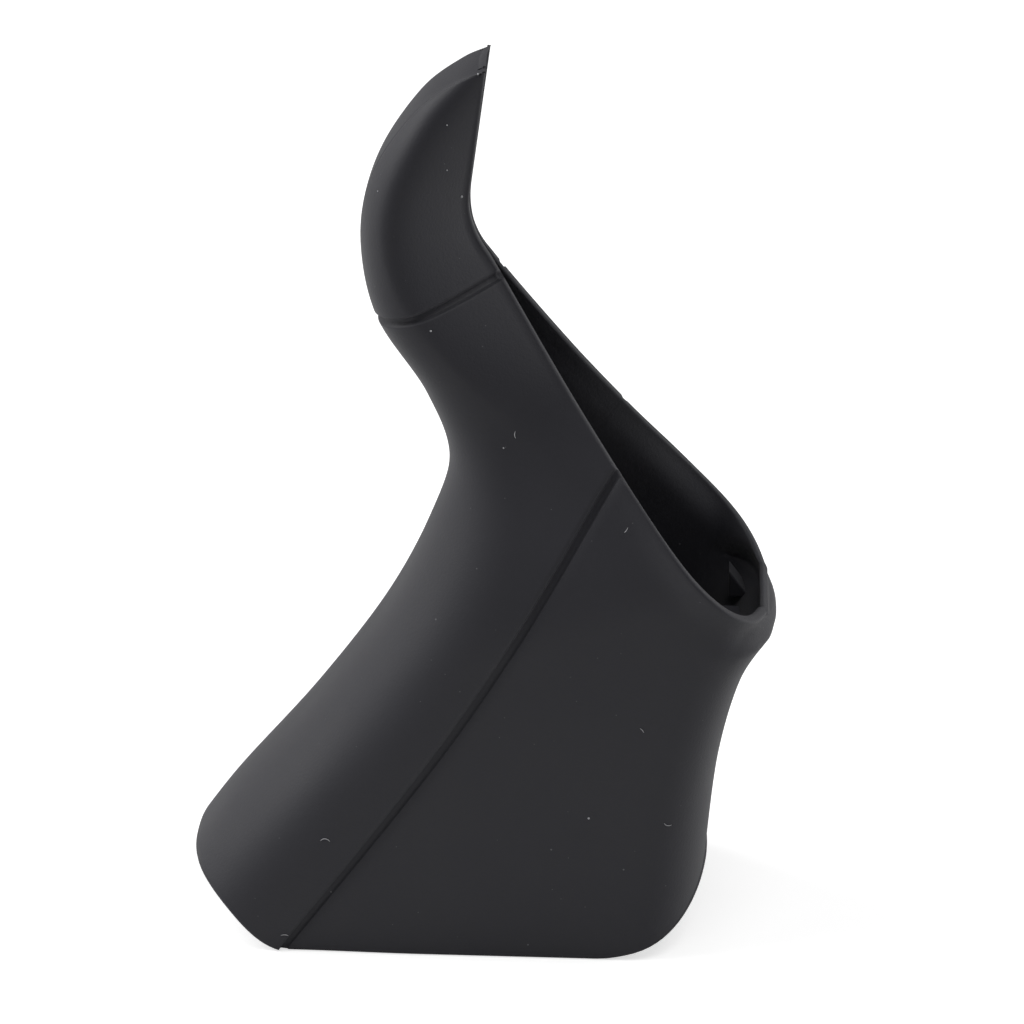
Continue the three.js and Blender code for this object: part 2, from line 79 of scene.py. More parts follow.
class Line:
    """A side-view line, read by the length run along it from its start."""

    def __init__(self, points):
        self.points = np.asarray(points, float)
        runs = np.linalg.norm(np.diff(self.points, axis=0), axis=1)
        self.lengths = np.concatenate([[0.0], np.cumsum(runs)])
        self.length = self.lengths[-1]

    def at(self, length):
        """The point at each length, straight between the line's own points."""
        columns = [np.interp(length, self.lengths, self.points[:, k]) for k in (0, 1)]
        return np.stack(columns, axis=-1)

    def direction(self, length, reach=0.3):
        """The unit direction at each length, from the points a short reach before and after."""
        step = self.at(np.asarray(length) + reach) - self.at(np.asarray(length) - reach)
        return step / np.linalg.norm(step, axis=-1, keepdims=True)

    def nearest(self, where):
        """For each point, its distance from the line and the length run to the nearest place."""
        flat = where.reshape(-1, 2)
        start = self.points[:-1]
        span = np.diff(self.points, axis=0)
        square = np.maximum((span**2).sum(axis=1), 1e-12)
        distances, lengths = [], []
        for block in np.array_split(flat, len(flat) // 4000 + 1):
            offset = block[:, None, :] - start[None, :, :]
            share = np.clip((offset * span).sum(axis=2) / square, 0, 1)
            gap = np.linalg.norm(offset - share[:, :, None] * span, axis=2)
            best = gap.argmin(axis=1)
            rows = np.arange(len(block))
            distances.append(gap[rows, best])
            lengths.append(self.lengths[best] + share[rows, best] * np.sqrt(square[best]))
        shape = where.shape[:-1]
        return np.concatenate(distances).reshape(shape), np.concatenate(lengths).reshape(shape)

    def length_at_height(self, height):
        """The length at which a falling line passes a height."""
        return float(np.interp(-height, -self.points[:, 1], self.lengths))

    def moved(self, distance):
        """The line moved sideways, to the left of its direction."""
        along = np.gradient(self.points, axis=0)
        along = along / np.linalg.norm(along, axis=1, keepdims=True)
        return Line(self.points + np.stack([-along[:, 1], along[:, 0]], axis=1) * distance)

    def lengthened(self, amount):
        """The line with a straight run added at its end."""
        return Line(np.vstack([self.points, self.points[-1] + self.direction(self.length) * amount]))


def evenly(points, count):
    """The same curve as count steps of one length."""
    line = Line(points)
    return line.at(np.linspace(0, line.length, count + 1))


def smooth_through(points, count=320):
    """Catmull-Rom curve through the points: each span is a cubic whose end slopes are half the
    way between its neighbours, and the end points count twice."""
    points = np.asarray(points, float)
    ring = np.vstack([points[:1], points, points[-1:]])
    place = np.linspace(0, len(points) - 1, 60 * (len(points) - 1) + 1)
    k = np.minimum(place.astype(int), len(points) - 2)
    t = (place - k)[:, None]
    a, b, c, d = ring[k], ring[k + 1], ring[k + 2], ring[k + 3]
    cubic = 2 * b + (c - a) * t + (2 * a - 5 * b + 4 * c - d) * t**2 + (3 * b - a - 3 * c + d) * t**3
    return evenly(cubic / 2, count)


def pulled(points, count=80):
    """Bezier curve of three or four points, by repeated halving of the way between neighbours."""
    t = np.linspace(0, 1, 200)[:, None]
    layers = [np.asarray(p, float)[None, :] for p in points]
    while len(layers) > 1:
        layers = [a * (1 - t) + b * t for a, b in zip(layers, layers[1:])]
    return evenly(layers[0], count)


back_line = Line(smooth_through([
    horn_tip,
    beside(horn_tip, horn_back, 0.12, -2.1),
    beside(horn_tip, horn_back, 0.34, -4),
    beside(horn_tip, horn_back, 0.69, -3.7),
    horn_back,
    beside(horn_back, saddle, 0.32, -1.9),
    beside(horn_back, saddle, 0.69, 0.5),
    saddle,
    beside(saddle, palm_end, 0.16, 3),
    beside(saddle, palm_end, 0.37, 4.2),
    beside(saddle, palm_end, 0.62, 3.1),
    beside(saddle, palm_end, 0.87, 0.7),
    palm_end,
]))

toward_tip = (horn_tip - horn_bend) / np.linalg.norm(horn_tip - horn_bend)
toward_mouth = (mouth_bottom - horn_bend) / np.linalg.norm(mouth_bottom - horn_bend)
bend_start = horn_bend + toward_tip * bend_reach
bend_end = horn_bend + toward_mouth * bend_reach
front_line = Line(np.vstack([
    evenly([horn_tip, bend_start], 40),
    pulled([bend_start, horn_bend, bend_end], 40)[1:],
    smooth_through([
        bend_end,
        beside(bend_end, mouth_bottom, 0.38, -1.7),
        beside(bend_end, mouth_bottom, 0.75, -2),
        mouth_bottom,
    ], 200)[1:],
]))

blade_line = Line(smooth_through([
    nose,
    beside(nose, blade_foot, 0.21, -2.3),
    beside(nose, blade_foot, 0.56, -2.3),
    blade_foot,
], 120))
blade_side = Line(np.vstack([evenly([mouth_bottom, nose], 6), blade_line.points[1:]]))


def lower_edge(heel, heel_foot, toe_foot, foot):
    """A pulled corner at the heel, the straight flap edge, and a pulled corner at the toe."""
    heel_corner = [heel, beside(heel, heel_foot, 0.42, 2.6), beside(heel, heel_foot, 0.72, -1.2), heel_foot]
    toe_corner = [toe_foot, beside(toe_foot, foot, 0.4, -3), beside(toe_foot, foot, 0.8, -2), foot]
    straight = evenly([heel_foot, toe_foot], 80)
    return Line(np.vstack([pulled(heel_corner), straight[1:], pulled(toe_corner)[1:]]))


# Width of the hood over each point of the side view. The horn and neck are wedges that run
# together to a narrow front edge, and the palm spreads into the two flaps round the handlebar.

flap_half_width = 18.2
neck_half_width = 10.6
mouth_half_width = 16.7
crown_half_width = 5.9
bend_half_width = 0.9
horn_rounding = 8.0
palm_rounding = 13.0
blade_side_rounding = 9.0
neck_slope_depth = 11.0
rim_shoulder_depth = 4.0
nose_blend_run = 2.5
rounding_power = 2.4
slope_power = 1.5
crown_length = 34.0
mouth_apex_distance = 60.8
mouth_round_length = 22.2
mouth_round_power = 2.28
mouth_apex_softness = 3.0
width_top_level = 74.0
width_bottom_level = 42.0
width_lean = 0.35
line_end_run = 14.0
back_wide = back_line.lengthened(line_end_run)
blade_wide = blade_side.lengthened(line_end_run)


def smooth(t):
    """An S from 0 to 1: three t squared less two t cubed."""
    t = np.clip(t, 0, 1)
    return t * t * (3 - 2 * t)


def soft_rise(h):
    """A ramp that leaves zero softly: half of h plus the long side over h and the softness."""
    return (h + np.hypot(h, mouth_apex_softness)) / 2


def mouth_half(from_bottom):
    """Half-width of the mouth: a taper to a soft apex, times a rounded bottom."""
    taper = soft_rise(mouth_apex_distance - from_bottom)
    taper = taper / soft_rise(mouth_apex_distance - mouth_round_length)
    left = np.clip(1 - from_bottom / mouth_round_length, 0, 1)
    return mouth_half_width * taper * (1 - left**mouth_round_power) ** (1 / mouth_round_power)


def front_half(length):
    """Half-width of the front edge: the chisel tip narrows to the bend, and the mouth takes over."""
    from_bottom = front_line.length - length
    bend_length = front_line.nearest(horn_bend[None])[1][0]
    share = np.maximum(1 - length / bend_length, 0)
    horn_edge = bend_half_width + (crown_half_width - bend_half_width) * share
    fade = np.clip(from_bottom / mouth_half_width, 0, 1)
    return np.hypot(mouth_half(from_bottom), horn_edge * fade)


def round_share(depth):
    """Quarter of a squared-off ellipse: 0 at the edge, 1 from the full depth inwards."""
    t = np.clip(depth, 0, 1)
    return (1 - (1 - t) ** rounding_power) ** (1 / rounding_power)


def half_width(where):
    """Half-width of the skin: the body's width, rounded off towards the back and the blade side,
    and drawn in towards the front edge by a slope that gets steeper where the mouth is open."""
    level = where[..., 1] - width_lean * where[..., 0]
    spread = smooth((width_top_level - level) / (width_top_level - width_bottom_level))
    body = neck_half_width + (flap_half_width - neck_half_width) * spread
    back_distance, back_length = back_wide.nearest(where)
    rounding = horn_rounding + (palm_rounding - horn_rounding) * spread
    crown = crown_half_width * np.sqrt(np.maximum(1 - back_length / crown_length, 0))
    shaved = rounding * (1 - (1 - (crown / body) ** rounding_power) ** (1 / rounding_power))
    back_share = round_share((back_distance + shaved) / rounding)
    blade_share = round_share(blade_wide.nearest(where)[0] / blade_side_rounding)
    front_distance, front_length = front_line.nearest(where)
    edge = front_half(front_length)
    from_bottom = front_line.length - front_length
    openness = smooth((mouth_apex_distance - from_bottom) / (mouth_apex_distance - mouth_half_width))
    depth = neck_slope_depth + (rim_shoulder_depth - neck_slope_depth) * openness
    depth = depth * np.clip(from_bottom / nose_blend_run, 0.1, 1)
    slope = 1 - (1 - np.clip(front_distance / depth, 0, 1)) ** slope_power
    return edge + (body * back_share * blade_share - edge) * slope


# The skin's grid on the side view. Rows run across the hood from its back to its front edge, and
# below the diagonal groove they run on through the groove into the smooth panel by the blade.

groove_width = 1.2
groove_depth = 0.7
horn_groove_back_height = 85.4
horn_groove_front_height = 90.6
palm_groove_top_height = 68.5
palm_groove_bow = 1.7
panel_step = 0.35
panel_step_reach = 18.0
crown_dome = 0.35
crease_depth = 0.12
crease_width = 0.3
skin_columns = 44
crown_columns = 10
panel_columns = 46
row_counts = [44, 14, 12, 34, 14, 60, 26]

skin_back = back_line
skin_front = front_line.moved(-edge_radius)
skin_foot = back_line.at(back_line.length - edge_radius)
skin_bottom = lower_edge(
    skin_foot,
    flap_heel + [0, edge_radius],
    flap_toe + [0, edge_radius],
    blade_line.at(blade_line.length - edge_radius),
)
skin_blade = Line(np.vstack([skin_front.points[-1], blade_side.points[3:-2], skin_bottom.points[-1]]))
back_end = back_line.length - edge_radius

groove_top = skin_front.length_at_height(palm_groove_top_height)
groove_foot = skin_bottom.nearest((flap_heel + [0, edge_radius])[None])[1][0]
top_point = skin_front.at(groove_top)
foot_point = skin_bottom.at(groove_foot)
palm_groove = Line(smooth_through([
    top_point,
    beside(top_point, foot_point, 0.5, palm_groove_bow),
    foot_point,
]))

ring_back = skin_back.length_at_height(horn_groove_back_height)
ring_front = skin_front.length_at_height(horn_groove_front_height)
saddle_length = skin_back.nearest(saddle[None])[1][0]
row_marks = np.array([
    [0, 0],
    [skin_back.nearest(horn_back[None])[1][0], skin_front.nearest(horn_bend[None])[1][0]],
    [ring_back - 0.75 * groove_width, ring_front - 0.75 * groove_width],
    [ring_back + 0.75 * groove_width, ring_front + 0.75 * groove_width],
    [saddle_length, skin_front.length - (skin_front.length - groove_top) * 1.2],
    [saddle_length * 1.2, groove_top],
    [back_end, groove_top + palm_groove.length * 0.93],
    [back_end + groove_foot, groove_top + palm_groove.length],
])
mark_rows = np.concatenate([[0], np.cumsum(row_counts)])
row_numbers = np.arange(mark_rows[-1] + 1)
back_lengths = np.interp(row_numbers, mark_rows, row_marks[:, 0])
front_lengths = np.interp(row_numbers, mark_rows, row_marks[:, 1])
corner_row = mark_rows[5]
on_back = back_lengths <= back_end + 1e-9


def side_grids():
    """Side-view points of the palm part, the groove strip and the blade panel. Palm columns
    close up towards the back as the square of their share. The blade panel is filled between
    its four sides: the sum of both straight fillings less that of the four corners."""
    left = np.where(
        on_back[:, None],
        skin_back.at(np.minimum(back_lengths, back_end)),
        skin_bottom.at(np.maximum(back_lengths - back_end, 0)),
    )
    above = front_lengths <= groove_top + 1e-9
    along_groove = palm_groove.at(front_lengths - groove_top)
    right = np.where(above[:, None], skin_front.at(front_lengths), along_groove)
    share = (np.linspace(0, 1, skin_columns + 1) ** 2)[None, :, None]
    palm = left[:, None] * (1 - share) + right[:, None] * share

    run = (front_lengths[corner_row:] - groove_top) / palm_groove.length
    across = skin_front.direction(groove_top) * (1 - run[:, None]) + np.array([1.0, 0.0]) * run[:, None]
    across = across / np.linalg.norm(across, axis=1, keepdims=True)
    steps = np.array([0, 0.05, 0.1, 0.2, 0.55, 0.88, 0.94, 1.0]) * groove_width
    strip = right[corner_row:, None] + across[:, None] * steps[None, :, None]
    strip[0] = skin_front.at(groove_top + steps)
    strip[-1] = skin_bottom.at(groove_foot + steps)

    u = 1 - (1 - np.linspace(0, 1, panel_columns + 1)) ** 2
    top_start, foot_start = groove_top + steps[-1], groove_foot + steps[-1]
    top_side = skin_front.at(top_start + (skin_front.length - top_start) * u)[None]
    foot_side = skin_bottom.at(foot_start + (skin_bottom.length - foot_start) * u)[None]
    blade_side_points = skin_blade.at(run * skin_blade.length)[:, None]
    u, v = u[None, :, None], run[:, None, None]
    panel = top_side * (1 - v) + foot_side * v + strip[:, -1:] * (1 - u) + blade_side_points * u
    panel -= (top_side[:, :1] * (1 - u) + top_side[:, -1:] * u) * (1 - v)
    panel -= (foot_side[:, :1] * (1 - u) + foot_side[:, -1:] * u) * v
    return palm, strip, panel


def lifted(flat):
    """Side-view points moved off the centre plane by the half-width, on the near side."""
    return np.stack([flat[..., 0], -half_width(flat), flat[..., 1]], axis=-1)


def with_crown(palm):
    """Columns over the crown, from the centre plane to the edge, closer towards the edge, and
    domed as one less their share squared."""
    edge = palm[:, :1]
    share = (1 - (1 - np.arange(crown_columns) / crown_columns) ** 2)[None, :, None]
    down = skin_back.direction(np.minimum(back_lengths, back_end))
    outward = np.stack([down[:, 1], np.zeros(len(down)), -down[:, 0]], axis=1)[:, None]
    rise = crown_dome * (edge[..., 1:2] / crown_half_width) ** 2 * (1 - share**2)
    crown = edge + outward * rise
    crown[..., 1] = edge[..., 1] * share[..., 0]
    crown = np.where(on_back[:, None, None], crown, edge)
    return np.concatenate([crown, palm], axis=1)


def grid_normals(grid):
    """Unit normals from the cross product of the two grid directions, filled in from the next
    column or row where a grid line has no length, and kept in the centre plane on it."""
    normal = np.cross(np.gradient(grid, axis=0), np.gradient(grid, axis=1))
    size = np.linalg.norm(normal, axis=2)
    for j in range(grid.shape[1] - 2, -1, -1):
        thin = size[:, j] < 1e-7
        normal[thin, j] = normal[thin, j + 1]
        size[thin, j] = size[thin, j + 1]
    normal[..., 1] = np.where(np.abs(grid[..., 1]) < 1e-6, 0, normal[..., 1])
    size = np.linalg.norm(normal, axis=2, keepdims=True)
    normal = normal / np.maximum(size, 1e-9)
    normal[-1] = np.where(size[-1] < 1e-7, normal[-2], normal[-1])
    return normal


flat_palm, flat_strip, flat_panel = side_grids()
palm_skin = with_crown(lifted(flat_palm))
lower_skin = np.concatenate([
    palm_skin[corner_row:],
    lifted(flat_strip)[:, 1:],
    lifted(flat_panel)[:, 1:],
], axis=1)
lower_skin[:, -1, 1] = 0
palm_count = palm_skin.shape[1]
palm_normals = grid_normals(palm_skin)
lower_normals = grid_normals(lower_skin)
lower_normals[0, :palm_count] = palm_normals[corner_row]

# Under the palm's end the skin turns faster than its rows are spaced, so the normals of the first
# rows there are drawn evenly from those on either side.

turn_rows = 6
turn_row = np.searchsorted(back_lengths, back_end - 1e-9) - corner_row
turn_share = np.linspace(0, 1, turn_rows)[:, None, None]
turned = lower_normals[turn_row] * (1 - turn_share) + lower_normals[turn_row + turn_rows - 1] * turn_share
lower_normals[turn_row:turn_row + turn_rows] = turned / np.linalg.norm(turned, axis=2, keepdims=True)
palm_normals[corner_row:] = lower_normals[:, :palm_count]

# Grooves and the step between the panels. The ring groove round the foot of the horn has a soft
# upper wall. The diagonal one has a steep wall on the palm side and a floor that ramps up to a lip.

ring_place = (back_lengths - ring_back) / groove_width
ring_sink = groove_depth * (1 - smooth((np.abs(ring_place) - 0.2) / 0.42))
crown_half = crown_half_width * np.sqrt(np.maximum(1 - back_lengths / crown_length, 0))
from_crease = np.linalg.norm(palm_skin - palm_skin[:, crown_columns:crown_columns + 1], axis=2)
crease_sink = crease_depth * (1 - smooth(from_crease / crease_width)) * smooth(crown_half / 2)[:, None]
palm_sink = np.maximum(ring_sink[:, None], crease_sink)
strip_sink = np.array([0.4, 0.68, 0.7, 0.62, 0.54, 0.4, panel_step])
from_groove = np.linalg.norm(flat_panel[:, 1:] - flat_panel[:, :1], axis=2)
near_blade = round_share(blade_wide.nearest(flat_panel[:, 1:])[0] / blade_side_rounding)
panel_sink = panel_step * (1 - smooth(from_groove / panel_step_reach)) * near_blade
lower_sink = np.concatenate([
    palm_sink[corner_row:],
    np.repeat(strip_sink[None], len(flat_strip), axis=0),
    panel_sink,
], axis=1)


def sunk(grid, normals, sink):
    """The skin moved in along its normals, never past the centre plane."""
    moved = grid - normals * sink[..., None]
    moved[..., 1] = np.minimum(moved[..., 1], 0)
    return moved


outer_palm = sunk(palm_skin, palm_normals, palm_sink)
outer_lower = sunk(lower_skin, lower_normals, lower_sink)

# Inside of the hood. The wall is moulded to one thickness, and thins to a soft lip at the mouth.

wall = 2.0
rim_wall = 1.4
rim_blend = 4.0


def inward_at_rim(length):
    """The direction across the lip, square to the rim's own run and to the side-view normal."""
    reach = 0.4
    along = front_line.at(length + reach) - front_line.at(length - reach)
    widening = -front_half(np.minimum(length + reach, front_line.length))
    widening += front_half(np.maximum(length - reach, 0))
    run = np.stack([along[..., 0], widening, along[..., 1]], axis=-1)
    face = np.stack([-along[..., 1], np.zeros_like(widening), along[..., 0]], axis=-1)
    inward = np.cross(face, run)
    return inward / np.linalg.norm(inward, axis=-1, keepdims=True)


def inner_skin(grid, normals):
    """The skin moved in by the wall along its normals, blended at the mouth into a step of the
    lip's own width across the rim, and held on its own side of the centre plane."""
    flat = grid[..., [0, 2]]
    distance, length = front_line.nearest(flat)
    at_rim = smooth(1 - (distance - edge_radius) / rim_blend)[..., None]
    moved = grid + inward_at_rim(length) * rim_wall * at_rim - normals * wall * (1 - at_rim)
    moved[..., 1] = np.where(np.abs(grid[..., 1]) < 1e-6, 0, np.minimum(moved[..., 1], 0))
    return moved


inner_palm = inner_skin(palm_skin, palm_normals)
inner_lower = inner_skin(lower_skin, lower_normals)
inner_palm[corner_row:] = inner_lower[:, :palm_count]


def rim(outer, inner, face):
    """A lip between the outer and inner skins: a quarter round off the outer one, a flat top, and
    a quarter round down to the inner one, which fades where both sides of the hood join."""
    across = inner - outer
    across -= (across * face).sum(axis=1, keepdims=True) * face
    width = np.linalg.norm(across, axis=1, keepdims=True)
    across = across / np.maximum(width, 1e-6)
    turn = np.radians(np.linspace(0, 90, 6))
    outer_radius = np.minimum(edge_radius, width * 0.45)
    inner_radius = np.minimum(edge_radius, width * 0.45) * smooth(-inner[:, 1:2] / 1.0)
    on_centre = (np.abs(outer[:, 1:2]) < 1e-6) & (width > rim_wall / 2)
    inner_radius = np.where(on_centre, outer_radius, inner_radius)
    rise = face * edge_radius
    up = [outer + across * outer_radius * (1 - np.cos(a)) + rise * np.sin(a) for a in turn]
    down = [inner - across * inner_radius * (1 - np.cos(a)) + rise * np.sin(a) for a in turn[::-1]]
    strip = np.stack(up + down, axis=1)
    strip[..., 1] = np.minimum(strip[..., 1], 0)
    return strip


def side_face(line, lengths, side):
    """Side-view normals of a line, to its left for side 1 and to its right for side -1."""
    along = line.direction(lengths)
    return side * np.stack([-along[:, 1], np.zeros(len(along)), along[:, 0]], axis=1)


front_rows = slice(0, corner_row + 1)
front_outer = np.concatenate([outer_palm[front_rows, -1], outer_lower[0, palm_count:]])
front_inner = np.concatenate([inner_palm[front_rows, -1], inner_lower[0, palm_count:]])
front_flat = np.concatenate([palm_skin[front_rows, -1], lower_skin[0, palm_count:]])[:, [0, 2]]
front_run = skin_front.nearest(front_flat)[1]
front_rim = rim(front_outer, front_inner, side_face(skin_front, front_run, 1))

heel_rows = np.flatnonzero(back_lengths >= back_end - 1e-9)
foot_outer = np.concatenate([outer_palm[heel_rows, crown_columns], outer_lower[-1, palm_count:]])
foot_inner = np.concatenate([inner_palm[heel_rows, crown_columns], inner_lower[-1, palm_count:]])
foot_flat = np.concatenate([palm_skin[heel_rows, crown_columns], lower_skin[-1, palm_count:]])[:, [0, 2]]
foot_run = skin_bottom.nearest(foot_flat)[1]
foot_rim = rim(foot_outer, foot_inner, side_face(skin_bottom, foot_run, -1))

# The finished skin. Both halves are one moulding, so the grids are mirrored, welded along their
# shared edges and shaded smooth.


def grid_quads(grid, flip=False):
    """The corners of every cell of a grid, and of its mirror image, as quads of points."""
    a, b, c, d = grid[:-1, :-1], grid[1:, :-1], grid[1:, 1:], grid[:-1, 1:]
    order = [a, d, c, b] if flip else [a, b, c, d]
    near = np.stack([corner.reshape(-1, 3) for corner in order], axis=1)
    far = near[:, ::-1] * [1, -1, 1]
    return np.concatenate([near, far])


def welded_mesh(name, quads, weld=1e-3):
    """One mesh of all the quads: equal corners are joined, cells that lie in the centre plane or
    have no area are left out, and a cell with a doubled corner becomes a triangle."""
    inside = (np.abs(quads[:, :, 1]) < weld).all(axis=1)
    quads = quads[~inside]
    keys = np.round(quads.reshape(-1, 3) / weld).astype(np.int64)
    unique, first, ids = np.unique(keys, axis=0, return_index=True, return_inverse=True)
    points = quads.reshape(-1, 3)[first]
    ids = ids.reshape(-1, 4)
    same = ids == np.roll(ids, -1, axis=1)
    whole = ids[~same.any(axis=1)]
    doubled, where = ids[same.sum(axis=1) == 1], same[same.sum(axis=1) == 1].argmax(axis=1)
    keep = (where[:, None] + np.array([1, 2, 3])) % 4
    triangles = np.take_along_axis(doubled, keep, axis=1)
    whole = whole[(whole[:, 0] != whole[:, 2]) & (whole[:, 1] != whole[:, 3])]
    loops = np.concatenate([whole.reshape(-1), triangles.reshape(-1)])
    totals = np.concatenate([np.full(len(whole), 4), np.full(len(triangles), 3)])
    starts = np.concatenate([[0], np.cumsum(totals)[:-1]])
    mesh = bpy.data.meshes.new(name)
    mesh.vertices.add(len(points))
    mesh.vertices.foreach_set("co", (points * 0.001).reshape(-1))
    mesh.loops.add(len(loops))
    mesh.loops.foreach_set("vertex_index", loops)
    mesh.polygons.add(len(totals))
    mesh.polygons.foreach_set("loop_start", starts)
    mesh.polygons.foreach_set("loop_total", totals)
    mesh.polygons.foreach_set("use_smooth", np.ones(len(totals), bool))
    mesh.update(calc_edges=True)
    mesh.validate()
    piece = bpy.data.objects.new(name, mesh)
    bpy.context.scene.collection.objects.link(piece)
    return piece


skin = welded_mesh("hood_skin", np.concatenate([
    grid_quads(outer_palm),
    grid_quads(outer_lower[:, palm_count - 1:]),
    grid_quads(inner_palm, flip=True),
    grid_quads(inner_lower[:, palm_count - 1:], flip=True),
    grid_quads(front_rim),
    grid_quads(foot_rim, flip=True),
]))
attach(skin, "root")
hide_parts("hood")

# Locating lugs on the inner side walls and the hook tab under the mouth. They key the rubber to
# the lever body, and are moulded in one with the skin.

lug_length = 2.8
lug_rise = 3.8
lug_drop = 2.6
lug_depth = 2.8
lug_seat = 0.9
tab_width = 14.0
tab_thickness = 1.6
tab_reach = 2.6
tab_drop = 3.8
lug_corner = blade_line.at(lug_drop) + [-wall, 0]
lug_start = half_width(lug_corner[None])[0] - wall - lug_depth
tab_root = blade_line.at(tab_drop) + [-wall, 0]


def prism(outline, low, high):
    """Corners and faces of a side-view outline carried across the hood from low to high."""
    outline = np.asarray(outline, float)
    count = len(outline)
    points = np.concatenate([np.insert(outline, 1, y, axis=1) for y in (low, high)])
    sides = [[i, (i + 1) % count, (i + 1) % count + count, i + count] for i in range(count)]
    return points, [list(range(count))[::-1], list(range(count, 2 * count)), *sides]


lug_outline = [lug_corner, lug_corner + [-lug_length, 0], lug_corner + [-lug_length, lug_rise]]
tab_corner = tab_root + [-tab_reach - wall / 2, -tab_thickness]
tab_outline = [tab_root + [0, -tab_thickness], tab_corner, tab_corner + [0, tab_thickness], tab_root]
lug_prisms = [
    prism(lug_outline, -lug_start - lug_depth - lug_seat, -lug_start),
    prism(lug_outline, lug_start, lug_start + lug_depth + lug_seat),
    prism(tab_outline, -tab_width / 2, tab_width / 2),
]
for name, (points, faces) in zip(("near_lug", "far_lug", "hook_tab"), lug_prisms):
    mesh = bpy.data.meshes.new(name)
    mesh.from_pydata((points * 0.001).tolist(), [], faces)
    mesh.validate()
    piece = bpy.data.objects.new(name, mesh)
    bpy.context.scene.collection.objects.link(piece)
    soften = piece.modifiers.new("soft_edges", "BEVEL")
    soften.width = 0.0002
    soften.segments = 2
    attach(piece, "root")

# Rubber: matte black moulding with a fine eroded grain, slightly uneven in tone and shine, and a
# little dust that has settled on it.

rubber = bpy.data.materials.new("moulded_rubber")
rubber.use_nodes = True
nodes, links = rubber.node_tree.nodes, rubber.node_tree.links
shader = nodes["Principled BSDF"]
shader.inputs["Specular IOR Level"].default_value = 0.5
shader.inputs["Sheen Weight"].default_value = 0.12
shader.inputs["Sheen Roughness"].default_value = 0.5


def node(kind, place, **settings):
    """A new node in the rubber, with its plain settings."""
    made = nodes.new(kind)
    made.location = place
    for name, value in settings.items():
        setattr(made, name, value)
    return made


coordinates = node("ShaderNodeTexCoord", (-1200, 0))
grain = node("ShaderNodeTexNoise", (-900, 200))
grain.inputs["Scale"].default_value = 2600
grain.inputs["Detail"].default_value = 4
grain.inputs["Roughness"].default_value = 0.6
clouds = node("ShaderNodeTexNoise", (-900, -100))
clouds.inputs["Scale"].default_value = 55
clouds.inputs["Detail"].default_value = 3
tone = node("ShaderNodeValToRGB", (-600, -100))
tone.color_ramp.elements[0].position = 0.3
tone.color_ramp.elements[0].color = (0.0176, 0.0174, 0.0238, 1)
tone.color_ramp.elements[1].position = 0.7
tone.color_ramp.elements[1].color = (0.0219, 0.0217, 0.0288, 1)
matte = node("ShaderNodeMapRange", (-600, -400))
matte.inputs["From Min"].default_value = 0.3
matte.inputs["From Max"].default_value = 0.7
matte.inputs["To Min"].default_value = 0.56
matte.inputs["To Max"].default_value = 0.66
bump = node("ShaderNodeBump", (-300, -300))
bump.inputs["Strength"].default_value = 0.25
bump.inputs["Distance"].default_value = 0.00012
for texture in (grain, clouds):
    links.new(coordinates.outputs["Object"], texture.inputs["Vector"])


def specks(place, spacing, radius):
    """A mask of round dust specks: 1 where the nearest scattered point is closer than the radius."""
    scatter = node("ShaderNodeTexVoronoi", place)
    scatter.inputs["Scale"].default_value = 1 / spacing
    near = node("ShaderNodeMapRange", (place[0] + 200, place[1]), interpolation_type="SMOOTHSTEP")
    near.inputs["From Min"].default_value = radius / spacing
    near.inputs["From Max"].default_value = 0.4 * radius / spacing
    links.new(coordinates.outputs["Object"], scatter.inputs["Vector"])
    links.new(scatter.outputs["Distance"], near.inputs["Value"])
    return near.outputs["Result"]


coarse_dust = specks((-900, -700), spacing=0.0044, radius=0.00017)
fine_dust = specks((-900, -950), spacing=0.0021, radius=0.000085)
all_dust = node("ShaderNodeMath", (-450, -800), operation="MAXIMUM")
faint = node("ShaderNodeMath", (-250, -800), operation="MULTIPLY")
faint.inputs[1].default_value = 0.16
dusty = node("ShaderNodeMix", (-100, 0), data_type="RGBA")
dusty.inputs["B"].default_value = (0.55, 0.55, 0.56, 1)
links.new(coarse_dust, all_dust.inputs[0])
links.new(fine_dust, all_dust.inputs[1])
links.new(all_dust.outputs["Value"], faint.inputs[0])
links.new(faint.outputs["Value"], dusty.inputs["Factor"])
links.new(tone.outputs["Color"], dusty.inputs["A"])
links.new(clouds.outputs["Fac"], tone.inputs["Fac"])
links.new(dusty.outputs["Result"], shader.inputs["Base Color"])
links.new(clouds.outputs["Fac"], matte.inputs["Value"])
links.new(matte.outputs["Result"], shader.inputs["Roughness"])
links.new(grain.outputs["Fac"], bump.inputs["Height"])
links.new(bump.outputs["Normal"], shader.inputs["Normal"])
for piece in [o for o in bpy.data.objects if o.name in ("hood_skin", "near_lug", "far_lug", "hook_tab")]:
    piece.data.materials.append(rubber)

# Lint: a few pale fibres and crumbs that have settled on the near side. Each fibre is a fine tube
# bent in an arc just off the skin, and each crumb a small ball.

lint_lift = 0.07
fibre_radius = 0.05
fibres = [
    ((-19.6, 16.4), 0.75, 30, 150),
    ((5.9, 72.3), 0.9, 150, 215),
    ((18.3, 62.2), 1.4, -50, -15),
    ((21.0, 33.6), 1.2, 20, 60),
    ((25.7, 21.0), 0.8, 200, 290),
    ((-25.3, 1.5), 1.1, 60, 120),
]
crumbs = [((-2.1, 101.3), 0.16), ((15.1, 21.3), 0.15), ((-5.6, 85.9), 0.13), ((-3.6, 111.9), 0.1)]
crumbs += [((-3.7, 105.7), 0.09), ((-12.3, 103.3), 0.09), ((0.2, 118.2), 0.12), ((3.6, 70.5), 0.1)]


